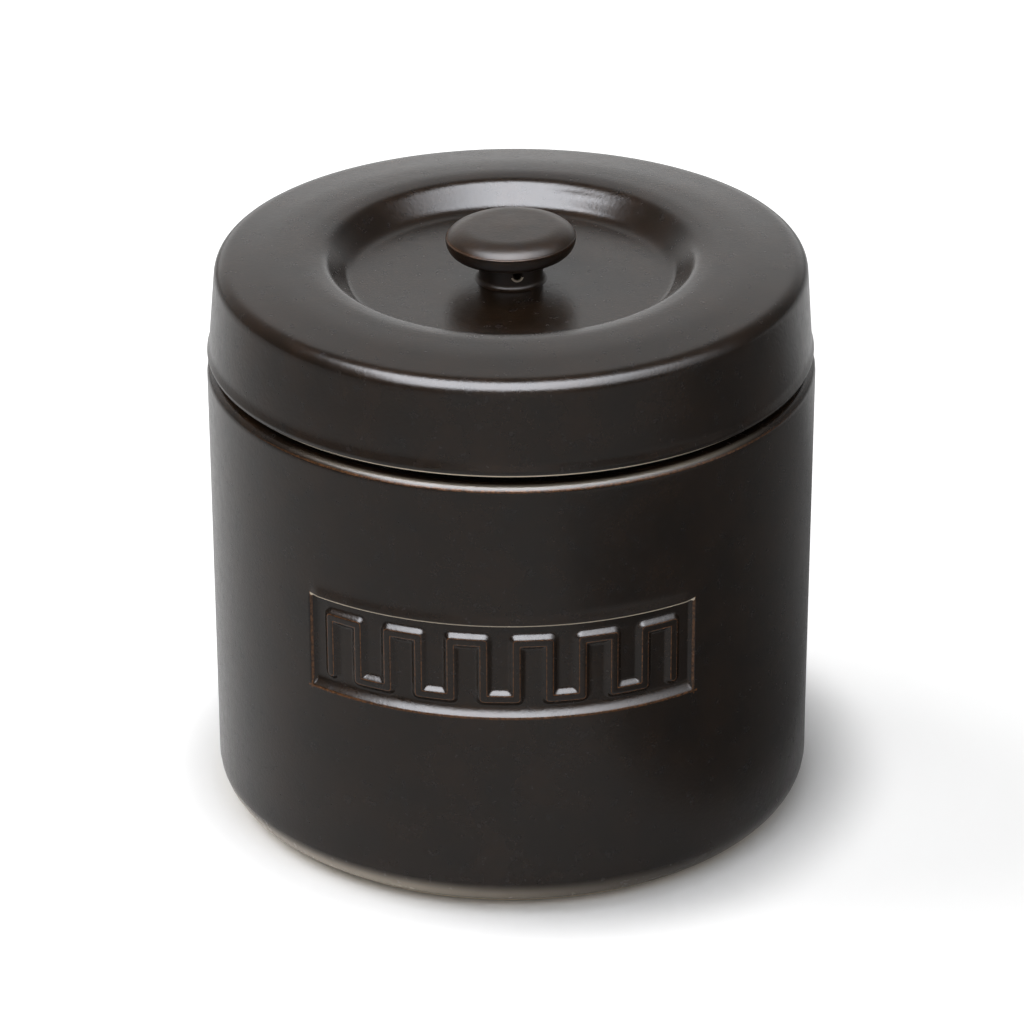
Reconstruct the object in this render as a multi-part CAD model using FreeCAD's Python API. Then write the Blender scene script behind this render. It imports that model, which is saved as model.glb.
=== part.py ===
"""Bacon grease container: a stoneware pot with a cap lid, a knob, a seal ring and a lift-out mesh strainer.

Row frame, in millimetres: origin at the centre of the foot, +Z up, -Y towards the recessed label panel.
Most pieces are bodies of revolution about Z. Each is drawn as one outline of (radius, height) corners,
with a rounding at each corner, and is turned a full circle.
"""

import math
import os

import FreeCAD
import Part

V = FreeCAD.Vector
AXIS_POINT = V(0, 0, 0)
AXIS_UP = V(0, 0, 1)

# ---- driving dimensions ----------------------------------------------------------------------------------

# pot
RIM_RADIUS = 60.0  # outside, at the rim
FOOT_RADIUS = 59.9  # outside, above the rounded foot: the wall leans out by 0.1 mm
FOOT_ROUNDING = 6.5
RIM_HEIGHT = 92.1  # foot to the crest of the rim
SHOULDER_HEIGHT = 91.55  # where the outside wall turns over into the rim
MOUTH_RADIUS = 53.8
REBATE_RADIUS = 56.2  # step inside the rim, in which the strainer's flange lies
LEDGE_HEIGHT = 91.0
BASE_THICKNESS = 6.0
BASE_RECESS = 1.5  # the hollow under the base, inside the foot ring
BASE_RECESS_RADIUS = 46.0
INNER_ROUNDING = 9.0

# label panel, sunk in the front of the wall
PANEL_BOTTOM = 42.8
PANEL_TOP = 62.7
PANEL_HALF_ANGLE = 38.2  # degrees
PANEL_DEPTH = 1.3
PANEL_BEVEL = 1.2  # width of its sloping sides

# ornament in the panel: a fret, one stroke that runs up, along, down and along again
ORNAMENT_HEIGHT = 1.0  # above the panel's floor
ORNAMENT_ROOT = 0.4  # how far it starts inside the wall
FRET_STEPS = 11  # bars along, first and last ones at the top
FRET_STEP = 6.4  # along the wall, between the middles of neighbouring uprights
FRET_HALF_HEIGHT = 6.0  # middle of the panel to the middle of a bar
FRET_STROKE = 2.6
FRET_CORNER = 0.8

# lid
LID_EDGE_HEIGHT = 93.75  # underside of the skirt
LID_EDGE_RADIUS = 59.8
LID_EDGE_ROLL = 0.9  # the edge turns in below this height
SKIRT_FOOT_RADIUS = 59.35  # where the skirt starts to flare out to the edge
SKIRT_FOOT_HEIGHT = 96.6
SHOULDER_RADIUS = 57.9
LID_SHOULDER_HEIGHT = 112.85
LID_SHOULDER_ROUNDING = 2.8
LID_CROWN_RADIUS = 46.5
LID_CROWN_HEIGHT = 113.7
WELL_LIP_RADIUS = 37.3
WELL_LIP_HEIGHT = 113.5
WELL_FOOT_RADIUS = 32.9
WELL_FOOT_HEIGHT = 108.5
WELL_FLOOR_HEIGHT = 108.4
LID_PLATE = 4.6
LID_UNDERSIDE_RISE = 4.4  # how much higher the underside is outside the well
SEAT_HEIGHT = 95.0  # underside of the lid, where the seal lies
SKIRT_INNER_RADIUS = 56.2
GROOVE_RADIUS = 51.2  # bottom of the seal's groove
LOCATING_RADIUS = 52.2
LOCATING_INNER_RADIUS = 49.2
LOCATING_BOTTOM = 86.0
LIP_TOP = 92.2  # the lip under the seal's groove

# knob
KNOB_TOP = 119.6
KNOB_CROWN_RADIUS = 9.8
KNOB_CROWN_HEIGHT = 119.45
KNOB_SHOULDER_RADIUS = 12.45  # corners of the lens outline, which is 12.8 at its widest
KNOB_SHOULDER_HEIGHT = 118.1
KNOB_BELLY_RADIUS = 13.4
KNOB_BELLY_HEIGHT = 115.2
KNOB_UNDERSIDE_RADIUS = 7.8
KNOB_UNDERSIDE = 112.6
NECK_RADIUS = 6.3
KNOB_BASE_RADIUS = 7.5
KNOB_WALL = 2.8
VENT_RADIUS = 0.9
VENT_HEIGHT = 111.4
VENT_ANGLE = 14.0  # degrees from the front, towards +X

# strainer
SHEET = 0.5
FLANGE_RADIUS = 55.8
SKIRT_RADIUS = 53.4
BAND_BOTTOM = 79.0  # lower edge of the skirt and of the hoop inside it
HOOP_TOP = 85.0
CLOTH = 0.5
BASKET_RADIUS = 50.4  # where the cloth's leaning side turns into its floor
BASKET_BOTTOM = 57.0
BASKET_ROUNDING = 8.0

# lift loops and their clips
WIRE_RADIUS = 0.8
LOOP_WIDTH = 15.0  # between wire centres
LOOP_DROP = 16.0
LOOP_CORNER = 2.5
HINGE_RADIUS = 47.0
HINGE_HEIGHT = 82.0
PIN_CLEARANCE = 0.05
CLIP_WIDTH = 8.0
CLIP_FOOT_HEIGHT = 5.0
CLIP_SHEET = 0.6

# what follows from them
HOOP_RADIUS = SKIRT_RADIUS - SHEET - CLOTH
HOOP_INNER_RADIUS = HOOP_RADIUS - SHEET
FLANGE_TOP = LEDGE_HEIGHT + SHEET
BASE_TOP = BASE_RECESS + BASE_THICKNESS


# ---- drawing helpers -------------------------------------------------------------------------------------


def rounded_outline(corners):
    """Closed wire in the XZ plane through (x, z, rounding) corners, with a tangent arc at each rounding."""
    points = [V(x, 0, z) for x, z, _ in corners]
    count = len(points)
    starts, ends, arcs = [], [], []
    for i, (_, _, rounding) in enumerate(corners):
        here = points[i]
        to_last = (points[i - 1] - here).normalize()
        to_next = (points[(i + 1) % count] - here).normalize()
        if rounding <= 0:
            starts.append(here)
            ends.append(here)
            arcs.append(None)
            continue
        half_angle = to_last.getAngle(to_next) / 2
        run = rounding / math.tan(half_angle)
        middle = (to_last + to_next).normalize()
        depth = rounding / math.sin(half_angle) - rounding
        starts.append(here + to_last * run)
        ends.append(here + to_next * run)
        arcs.append(here + middle * depth)
    edges = []
    for i in range(count):
        if arcs[i] is not None:
            edges.append(Part.Arc(starts[i], arcs[i], ends[i]).toShape())
        following = starts[(i + 1) % count]
        if (following - ends[i]).Length > 1e-6:
            edges.append(Part.LineSegment(ends[i], following).toShape())
    return Part.Wire(edges)


def turned(corners):
    """Solid of revolution about Z of a closed outline."""
    face = Part.Face(rounded_outline(corners))
    return face.revolve(AXIS_POINT, AXIS_UP, 360)


def ring(inner_radius, outer_radius, bottom, top):
    """Plain ring with a rectangular section."""
    return turned(
        [
            (inner_radius, bottom, 0),
            (outer_radius, bottom, 0),
            (outer_radius, top, 0),
            (inner_radius, top, 0),
        ]
    )


def facing(shape, degrees_from_front):
    """Turns a shape that was drawn at the front, at -Y, round Z towards +X."""
    turned_shape = shape.copy()
    turned_shape.rotate(AXIS_POINT, AXIS_UP, degrees_from_front)
    return turned_shape


# ---- pot -------------------------------------------------------------------------------------------------


def wall_radius(height):
    """Outside radius of the leaning wall."""
    share = height / SHOULDER_HEIGHT
    return FOOT_RADIUS + (RIM_RADIUS - FOOT_RADIUS) * share


def pot_shell():
    return turned(
        [
            (0, BASE_RECESS, 0),
            (BASE_RECESS_RADIUS, BASE_RECESS, 1.0),
            (BASE_RECESS_RADIUS + 1.2, 0, 0.6),
            (FOOT_RADIUS, 0, FOOT_ROUNDING),
            (RIM_RADIUS, SHOULDER_HEIGHT, 1.6),
            (RIM_RADIUS - 2.2, RIM_HEIGHT, 1.6),
            (REBATE_RADIUS, RIM_HEIGHT, 0.8),
            (REBATE_RADIUS, LEDGE_HEIGHT, 0.3),
            (MOUTH_RADIUS, LEDGE_HEIGHT, 0.8),
            (MOUTH_RADIUS, BASE_TOP, INNER_ROUNDING),
            (0, BASE_TOP, 0),
        ]
    )


def panel_cutter():
    """Recess with four sloping sides: a ring with a tapered section, cut to a wedge with sloping flanks."""
    face_radius = wall_radius((PANEL_BOTTOM + PANEL_TOP) / 2)
    floor_radius = face_radius - PANEL_DEPTH
    beyond = 2.0
    flare = PANEL_BEVEL / PANEL_DEPTH * beyond
    band = turned(
        [
            (floor_radius, PANEL_BOTTOM + PANEL_BEVEL, 0),
            (face_radius + beyond, PANEL_BOTTOM - flare, 0),
            (face_radius + beyond, PANEL_TOP + flare, 0),
            (floor_radius, PANEL_TOP - PANEL_BEVEL, 0),
        ]
    )
    half_angle = math.radians(PANEL_HALF_ANGLE)
    floor_half_angle = half_angle - PANEL_BEVEL / face_radius
    outer = V(face_radius * math.sin(half_angle), -face_radius * math.cos(half_angle), 0)
    inner = V(
        floor_radius * math.sin(floor_half_angle), -floor_radius * math.cos(floor_half_angle), 0
    )
    slope = outer - inner
    far = outer + slope * 3
    near = inner - slope * 3
    front = V(far.x, -2 * RIM_RADIUS, 0)

    def mirrored(p):
        return V(-p.x, p.y, 0)

    plan = [near, far, front, mirrored(front), mirrored(far), mirrored(near), near]
    wedge = Part.Face(Part.makePolygon(plan)).extrude(V(0, 0, RIM_HEIGHT))
    return band.common(wedge)


def stroke_bar(width, height, middle):
    """Bar of the fret at the front, with soft corners: drawn on the XZ plane and drawn out along -Y."""
    outline = rounded_outline(
        [
            (-width / 2, -height / 2, FRET_CORNER),
            (width / 2, -height / 2, FRET_CORNER),
            (width / 2, height / 2, FRET_CORNER),
            (-width / 2, height / 2, FRET_CORNER),
        ]
    )
    outline.translate(V(0, 0, middle))
    return Part.Face(outline).extrude(V(0, -2 * RIM_RADIUS, 0))


def panel_ornament():
    """Raised fret that stands on the panel's floor, its bars by turns at the top and at the bottom."""
    middle = (PANEL_BOTTOM + PANEL_TOP) / 2
    face_radius = wall_radius(middle)
    floor_radius = face_radius - PANEL_DEPTH
    layer = ring(
        floor_radius - ORNAMENT_ROOT, floor_radius + ORNAMENT_HEIGHT, PANEL_BOTTOM, PANEL_TOP
    )
    upright = stroke_bar(FRET_STROKE, 2 * FRET_HALF_HEIGHT + FRET_STROKE, middle)
    along = FRET_STEP + FRET_STROKE
    top_bar = stroke_bar(along, FRET_STROKE, middle + FRET_HALF_HEIGHT)
    bottom_bar = stroke_bar(along, FRET_STROKE, middle - FRET_HALF_HEIGHT)
    step = math.degrees(FRET_STEP / face_radius)
    first = -step * FRET_STEPS / 2
    strokes = [facing(upright, first + i * step) for i in range(FRET_STEPS + 1)]
    for i in range(FRET_STEPS):
        bar = top_bar if i % 2 == 0 else bottom_bar
        strokes.append(facing(bar, first + (i + 0.5) * step))
    return [stroke.common(layer) for stroke in strokes]


def pot():
    body = pot_shell().cut(panel_cutter())
    return body.fuse(panel_ornament()).removeSplitter()


# ---- lid, knob and seal ----------------------------------------------------------------------------------


def lid():
    """Cap lid with a sunk well for the knob, a hanging skirt, and a locating ring grooved for the seal."""
    underside = WELL_FLOOR_HEIGHT - LID_PLATE
    outer_underside = underside + LID_UNDERSIDE_RISE
    knob_seat = KNOB_BASE_RADIUS + 1.0
    return turned(
        [
            (0, WELL_FLOOR_HEIGHT, 0),
            (knob_seat, WELL_FLOOR_HEIGHT, 0),
            (WELL_FOOT_RADIUS, WELL_FOOT_HEIGHT, 4.0),
            (WELL_LIP_RADIUS, WELL_LIP_HEIGHT, 3.0),
            (LID_CROWN_RADIUS, LID_CROWN_HEIGHT, 25.0),
            (SHOULDER_RADIUS, LID_SHOULDER_HEIGHT, LID_SHOULDER_ROUNDING),
            (SKIRT_FOOT_RADIUS, SKIRT_FOOT_HEIGHT, 5.0),
            (LID_EDGE_RADIUS, LID_EDGE_HEIGHT + LID_EDGE_ROLL, 0.9),
            (LID_EDGE_RADIUS - 0.4, LID_EDGE_HEIGHT, 0.5),
            (SKIRT_INNER_RADIUS, LID_EDGE_HEIGHT, 0.4),
            (SKIRT_INNER_RADIUS, SEAT_HEIGHT, 0),
            (GROOVE_RADIUS, SEAT_HEIGHT, 0),
            (GROOVE_RADIUS, LIP_TOP, 0.4),
            (LOCATING_RADIUS, LIP_TOP, 0.4),
            (LOCATING_RADIUS, LOCATING_BOTTOM, 1.0),
            (LOCATING_INNER_RADIUS, LOCATING_BOTTOM, 1.0),
            (LOCATING_INNER_RADIUS, outer_underside, 5.0),
            (WELL_LIP_RADIUS, outer_underside, 5.0),
            (WELL_FOOT_RADIUS, underside, 5.0),
            (0, underside, 0),
        ]
    )


def knob():
    """Hollow mushroom knob on a short neck, luted to the well's floor, with a firing vent in the neck."""
    body = turned(
        [
            (0, WELL_FLOOR_HEIGHT, 0),
            (KNOB_BASE_RADIUS, WELL_FLOOR_HEIGHT, 0),
            (NECK_RADIUS, WELL_FLOOR_HEIGHT + 1.2, 1.2),
            (NECK_RADIUS, KNOB_UNDERSIDE, 0.4),
            (KNOB_UNDERSIDE_RADIUS, KNOB_UNDERSIDE, 4.0),
            (KNOB_BELLY_RADIUS, KNOB_BELLY_HEIGHT, 3.0),
            (KNOB_SHOULDER_RADIUS, KNOB_SHOULDER_HEIGHT, 3.2),
            (KNOB_CROWN_RADIUS, KNOB_CROWN_HEIGHT, 6.6),
            (0, KNOB_TOP, 0),
        ]
    )
    bore = NECK_RADIUS - KNOB_WALL
    cavity_radius = KNOB_SHOULDER_RADIUS - KNOB_WALL
    cavity_floor = KNOB_UNDERSIDE + KNOB_WALL - 0.4
    cavity_top = KNOB_TOP - KNOB_WALL + 0.2
    hollow = turned(
        [
            (0, WELL_FLOOR_HEIGHT, 0),
            (bore, WELL_FLOOR_HEIGHT, 0),
            (bore, cavity_floor, 0.8),
            (cavity_radius, cavity_floor + 0.8, 0.4),
            (cavity_radius, cavity_top - 0.8, 0.4),
            (bore, cavity_top, 2.0),
            (0, cavity_top, 0),
        ]
    )
    vent = Part.makeCylinder(VENT_RADIUS, 2 * NECK_RADIUS, V(0, 0, VENT_HEIGHT), V(0, -1, 0))
    return body.cut(hollow).cut(facing(vent, VENT_ANGLE))


def seal_ring():
    """Silicone ring: its inner edge sits in the lid's groove, its foot lies on the strainer's flange."""
    play = 0.15
    return turned(
        [
            (GROOVE_RADIUS + play, LIP_TOP + play, 0),
            (SKIRT_RADIUS, LIP_TOP + play, 0),
            (SKIRT_RADIUS, FLANGE_TOP, 0.3),
            (FLANGE_RADIUS - 0.3, FLANGE_TOP, 0.4),
            (FLANGE_RADIUS, SEAT_HEIGHT, 0),
            (GROOVE_RADIUS + play, SEAT_HEIGHT, 0),
        ]
    )


# ---- strainer --------------------------------------------------------------------------------------------


def strainer_rim():
    """Pressed steel ring: a flange that lies on the pot's ledge, and a skirt that hangs in its mouth."""
    return turned(
        [
            (SKIRT_RADIUS - SHEET, BAND_BOTTOM, 0),
            (SKIRT_RADIUS, BAND_BOTTOM, 0),
            (SKIRT_RADIUS, LEDGE_HEIGHT, 0.3),
            (FLANGE_RADIUS, LEDGE_HEIGHT, 0.2),
            (FLANGE_RADIUS, FLANGE_TOP, 0.2),
            (SKIRT_RADIUS - SHEET, FLANGE_TOP, 0.8),
        ]
    )


def strainer_mesh():
    """Wire-cloth basket, drawn as a closed skin as thick as the cloth."""
    outer = SKIRT_RADIUS - SHEET
    return turned(
        [
            (0, BASKET_BOTTOM, 0),
            (BASKET_RADIUS, BASKET_BOTTOM, BASKET_ROUNDING),
            (outer, BAND_BOTTOM, 12.0),
            (outer, HOOP_TOP, 0),
            (outer - CLOTH, HOOP_TOP, 0),
            (outer - CLOTH, BAND_BOTTOM, 12.0),
            (BASKET_RADIUS - CLOTH, BASKET_BOTTOM + CLOTH, BASKET_ROUNDING - CLOTH),
            (0, BASKET_BOTTOM + CLOTH, 0),
        ]
    )


def clamp_hoop():
    """Steel band that pinches the cloth against the skirt."""
    return ring(HOOP_INNER_RADIUS, HOOP_RADIUS, BAND_BOTTOM + 2.0, HOOP_TOP)


# ---- lift loops and clips --------------------------------------------------------------------------------


def lift_loop():
    """Closed loop of round wire at the front, hanging straight down from its hinge leg, which runs along X."""
    half = LOOP_WIDTH / 2
    path = rounded_outline(
        [
            (-half, 0, LOOP_CORNER),
            (half, 0, LOOP_CORNER),
            (half, -LOOP_DROP, LOOP_CORNER),
            (-half, -LOOP_DROP, LOOP_CORNER),
        ]
    )
    middle_leg = path.Edges[1]
    start = middle_leg.valueAt(middle_leg.FirstParameter)
    direction = middle_leg.tangentAt(middle_leg.FirstParameter)
    section = Part.Wire(Part.Circle(start, direction, WIRE_RADIUS).toShape())
    wire = path.makePipeShell([section], True, False)
    wire.translate(V(0, -HINGE_RADIUS, HINGE_HEIGHT))
    return wire


def loop_clip():
    """Bent strap at the front: a foot welded to the hoop, an arm, and a barrel round the loop's hinge leg."""
    bore = WIRE_RADIUS + PIN_CLEARANCE
    outside = bore + CLIP_SHEET
    half = CLIP_WIDTH / 2
    along = V(1, 0, 0)
    start = V(-half, -HINGE_RADIUS, HINGE_HEIGHT)
    barrel = Part.makeCylinder(outside, CLIP_WIDTH, start, along)
    arm_length = HOOP_INNER_RADIUS - HINGE_RADIUS
    arm_corner = V(-half, -HOOP_INNER_RADIUS, HINGE_HEIGHT + bore)
    arm = Part.makeBox(CLIP_WIDTH, arm_length, CLIP_SHEET, arm_corner)
    foot_top = HINGE_HEIGHT + outside
    foot_corner = V(-half, -HOOP_INNER_RADIUS, foot_top - CLIP_FOOT_HEIGHT)
    foot = Part.makeBox(CLIP_WIDTH, CLIP_SHEET + 0.3, CLIP_FOOT_HEIGHT, foot_corner)
    strap = barrel.fuse([arm, foot]).common(Part.makeCylinder(HOOP_INNER_RADIUS, RIM_HEIGHT))
    hollow = Part.makeCylinder(bore, CLIP_WIDTH + 2, start - along, along)
    return strap.cut(hollow).removeSplitter()


# ---- the pieces ------------------------------------------------------------------------------------------


def pieces():
    return {
        "pot": pot(),
        "lid": lid(),
        "knob": knob(),
        "seal_ring": seal_ring(),
        "strainer_rim": strainer_rim(),
        "strainer_mesh": strainer_mesh(),
        "clamp_hoop": clamp_hoop(),
        "loop_clip_front": loop_clip(),
        "loop_clip_back": facing(loop_clip(), 180),
        "lift_loop_front": lift_loop(),
        "lift_loop_back": facing(lift_loop(), 180),
    }


def main():
    os.makedirs("parts", exist_ok=True)
    for name, shape in pieces().items():
        solids = shape.Solids
        volume = sum(s.Volume for s in solids)
        box = shape.BoundBox
        print(
            f"{name:16s} solids {len(solids)} valid {shape.isValid()} volume {volume / 1000:8.2f} cm3"
            f"  z {box.ZMin:7.2f} to {box.ZMax:7.2f}  x {box.XMin:7.2f} to {box.XMax:7.2f}"
        )
        if len(solids) == 1:
            shape = solids[0]
        shape.exportStep(f"parts/{name}.step")


main()
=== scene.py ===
"""Looks of a bacon grease container: glazed stoneware pot, lid and knob, silicone seal, stainless strainer.

Lengths of the object's own parts are millimetres, and add_piece turns their points to metres. Lengths in
the materials and the studio are metres.
A profile is a line of (radius, height, rounding) corners, written so that the body lies on its left:
out along the underside, up the outside, and back in over the top.
"""

import math

import bpy
import numpy as np
from mathutils import Matrix, Vector


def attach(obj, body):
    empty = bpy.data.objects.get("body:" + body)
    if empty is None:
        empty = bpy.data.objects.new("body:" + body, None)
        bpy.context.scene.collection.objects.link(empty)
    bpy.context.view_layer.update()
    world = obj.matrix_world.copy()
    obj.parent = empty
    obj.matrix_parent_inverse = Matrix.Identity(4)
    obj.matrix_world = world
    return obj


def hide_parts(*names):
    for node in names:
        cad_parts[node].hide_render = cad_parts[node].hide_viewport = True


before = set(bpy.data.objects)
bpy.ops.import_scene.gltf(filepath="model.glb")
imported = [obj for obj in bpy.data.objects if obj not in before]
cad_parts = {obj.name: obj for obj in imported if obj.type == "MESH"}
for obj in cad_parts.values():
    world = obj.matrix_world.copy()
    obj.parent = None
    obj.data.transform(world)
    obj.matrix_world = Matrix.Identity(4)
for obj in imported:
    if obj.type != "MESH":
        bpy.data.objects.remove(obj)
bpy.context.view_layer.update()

# ---- sizes ----

RIM_RADIUS = 60.0
FOOT_RADIUS = 59.9
BARE_FOOT_RADIUS = 55.45
RIM_HEIGHT = 92.1
SHOULDER_HEIGHT = 91.55
MOUTH_RADIUS = 53.8
REBATE_RADIUS = 56.2
LEDGE_HEIGHT = 91.0

PANEL_BOTTOM = 42.8
PANEL_TOP = 62.7
PANEL_HALF_ANGLE = 38.2
PANEL_DEPTH = 1.3
PANEL_SIDE_RUN = 1.0  # width of the slope in from each side
PANEL_TOP_RUN = 0.6
PANEL_COVE = 2.6
PANEL_SWELL = 0.5  # of the wall above the panel
PANEL_SWELL_RUN = 3.0
PANEL_FINE = 0.3  # spacing of the mesh there
PLAIN_SPACING = 4.0  # and on the pot's plain runs
AROUND_PANEL = (35.0, 70.0)  # heights between which the wall takes the panel's relief
OUTSIDE_FROM = 57.0  # radius past which a point of the pot is on its outside

ORNAMENT_HEIGHT = 0.92
FRET_STEPS = 11
FRET_STEP = 6.4
FRET_HALF_HEIGHT = 6.0
FRET_STROKE = 2.6

NECK_RADIUS = 6.3
VENT_RADIUS = 0.9
VENT_HEIGHT = 111.4
VENT_ANGLE = 14.0
VENT_DEPTH = 2.4

SHEET = 0.5
SKIRT_RADIUS = 53.4
FLANGE_RADIUS = 55.8
BAND_BOTTOM = 79.0
HOOP_TOP = 85.0
CLOTH = 0.5
CLOTH_PITCH = 1.35
CLOTH_WIRE = 0.15  # radius
BASKET_RADIUS = 50.4
BASKET_BOTTOM = 57.0
BASKET_ROUNDING = 8.0

LOOP_WIRE = 0.8
LOOP_WIDTH = 15.0
LOOP_DROP = 16.0
LOOP_CORNER = 2.5
HINGE_RADIUS = 47.0
HINGE_HEIGHT = 82.0

# How far hand and kiln left the clay from true. The slopes have no unit, and the angle is in radians.
WALL_OVAL = 0.05
WALL_THREE_SIDED = 0.03
LID_RISE_TO_RIGHT = 0.0035
LID_RISE_TO_BACK = 0.006
LID_WARP = 0.39  # at the shoulder
LID_SHOULDER = 58.0
LID_WAVE = 0.03
SKIRT_LEAN = 0.008
SKIRT_WAVE = 0.04
WELL_OVAL = 0.4
WELL_SHIFT_BACK = 0.6
SWELLING_HEIGHT = 0.5
SWELLING_ANGLE = 2.8
SWELLING_RADIUS = 34.6
KNOB_RISE_TO_RIGHT = 0.022

# Where the glaze gives way, where the lid's pale line lies and the rim's painted highlight is centred.
RUST_BELOW_RIM = 1.15
# The turn also centres the rim's painted highlight.
RUST_AND_HIGHLIGHT_TURN = 0.14  # radians from the front to where the rim's rust is strongest
BARE_FOOT_HEIGHT = 1.1
PALE_LID_EDGE = 93.95
KNOB_WORN_HEIGHT = 117.3
CLEAR = 9.0  # a distance at which nothing shows

# Floor, lamps and camera, in metres and degrees.
FLOOR_REACH = 4.0
LAMP_AIM_HEIGHT = 0.06
CAMERA_AZIMUTH = 2.2  # from the front
CAMERA_ELEVATION = 26.36
CAMERA_ROLL = -0.1604
CAMERA_DISTANCE = 0.9629
CAMERA_AIM_HEIGHT = 0.057175
CAMERA_AIM_TO_RIGHT = 0.00008
FOCAL_LENGTH = 168.76  # millimetres, as is the sensor
SENSOR_WIDTH = 36.0

POT_PROFILE = [
    (0, 1.5, 0),
    (46.0, 1.5, 1.0),
    (47.2, 0, 0.6),
    (BARE_FOOT_RADIUS, 0, 0.2),
    (FOOT_RADIUS, 3.2, 6.3),
    (RIM_RADIUS, SHOULDER_HEIGHT, 1.75),
    (RIM_RADIUS - 2.2, RIM_HEIGHT, 1.6),
    (REBATE_RADIUS, RIM_HEIGHT, 0.8),
    (REBATE_RADIUS, LEDGE_HEIGHT, 0.3),
    (MOUTH_RADIUS, LEDGE_HEIGHT, 0.8),
    (MOUTH_RADIUS, 7.5, 9.0),
    (0, 7.5, 0),
]

LID_PROFILE = [
    (0, 103.8, 0),
    (32.6, 103.8, 5.0),
    (38.5, 108.2, 5.0),
    (49.2, 108.2, 5.0),
    (49.2, 86.0, 1.0),
    (52.2, 86.0, 1.0),
    (52.2, 92.2, 0.4),
    (51.2, 92.2, 0.3),
    (51.2, 95.0, 0.1),
    (56.2, 95.0, 0.1),
    (56.2, 93.75, 0.3),
    (59.4, 93.75, 0.4),
    (59.8, 94.7, 0.7),
    (59.3, 96.4, 3.0),
    (57.9, 112.85, 3.0),
    (47.0, 113.75, 25.0),
    (40.3, 113.83, 12.0),
    (36.9, 113.4, 2.9),
    (32.2, 108.5, 3.0),
    (8.5, 108.4, 2.0),
    (0, 108.4, 0),
]

KNOB_PROFILE = [
    (0, 108.3, 0),
    (7.4, 108.3, 0.05),
    (NECK_RADIUS, 108.7, 1.0),
    (NECK_RADIUS, 112.6, 0.4),
    (7.8, 112.6, 4.0),
    (13.4, 115.2, 3.0),
    (12.45, 118.1, 3.2),
    (9.8, 119.45, 6.6),
    (0, 119.6, 0),
]

SEAL_PROFILE = [
    (51.35, 92.35, 0.2),
    (SKIRT_RADIUS, 92.35, 0.2),
    (SKIRT_RADIUS, 91.5, 0.3),
    (FLANGE_RADIUS - 0.3, 91.5, 0.4),
    (FLANGE_RADIUS, 95.0, 0.3),
    (51.35, 95.0, 0.2),
]

RIM_RING_PROFILE = [
    (SKIRT_RADIUS - SHEET, BAND_BOTTOM, 0.2),
    (SKIRT_RADIUS, BAND_BOTTOM, 0.2),
    (SKIRT_RADIUS, LEDGE_HEIGHT, 0.3),
    (FLANGE_RADIUS, LEDGE_HEIGHT, 0.2),
    (FLANGE_RADIUS, LEDGE_HEIGHT + SHEET, 0.2),
    (SKIRT_RADIUS - SHEET, LEDGE_HEIGHT + SHEET, 0.8),
]

HOOP_PROFILE = [
    (SKIRT_RADIUS - 2 * SHEET - CLOTH, BAND_BOTTOM + 2, 0.2),
    (SKIRT_RADIUS - SHEET - CLOTH, BAND_BOTTOM + 2, 0.2),
    (SKIRT_RADIUS - SHEET - CLOTH, HOOP_TOP, 0.2),
    (SKIRT_RADIUS - 2 * SHEET - CLOTH, HOOP_TOP, 0.2),
]

CLOTH_PROFILE = [
    (0, BASKET_BOTTOM + CLOTH / 2, 0),
    (BASKET_RADIUS - CLOTH / 2, BASKET_BOTTOM + CLOTH / 2, BASKET_ROUNDING),
    (SKIRT_RADIUS - SHEET - CLOTH / 2, BAND_BOTTOM, 12.0),
    (SKIRT_RADIUS - SHEET - CLOTH / 2, HOOP_TOP, 0),
]


# ---- lines ----


def smooth_step(t):
    """0 below 0 and 1 above 1, and between them 3 t squared less 2 t cubed."""
    t = np.clip(t, 0.0, 1.0)
    return t * t * (3.0 - 2.0 * t)


def corner_arc(before, here, after, rounding):
    """Arc that touches both lines of a corner. Its centre is on the bisector, rounding / sin(half the
    corner's angle) from the corner, and its points turn evenly about that centre. Points are complex:
    radius + i height."""
    to_before = (before - here) / abs(before - here)
    to_after = (after - here) / abs(after - here)
    half = abs(np.angle(to_before / to_after)) / 2
    bisector = (to_before + to_after) / abs(to_before + to_after)
    centre = here + bisector * rounding / math.sin(half)
    start = here + to_before * rounding / math.tan(half) - centre
    end = here + to_after * rounding / math.tan(half) - centre
    sweep = np.angle(end / start)
    return centre + start * np.exp(1j * np.linspace(0, sweep, 24))


def graded(place, spacing):
    """Spacing along a line that never grows faster than a quarter of the distance: the lowest of the cones
    that rise from every point, found as a running minimum each way."""
    ahead = np.minimum.accumulate(spacing - place / 4) + place / 4
    behind = np.minimum.accumulate((spacing + place / 4)[::-1])[::-1] - place / 4
    return np.minimum(ahead, behind)


def stations(place, spacing):
    """Places whose gaps follow the spacing: the running sum of 1 / spacing, cut into equal steps."""
    mean = (spacing[1:] + spacing[:-1]) / 2
    tally = np.concatenate([[0.0], np.cumsum(np.diff(place) / mean)])
    return np.interp(np.linspace(0, tally[-1], math.ceil(tally[-1]) + 1), tally, place)


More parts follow.
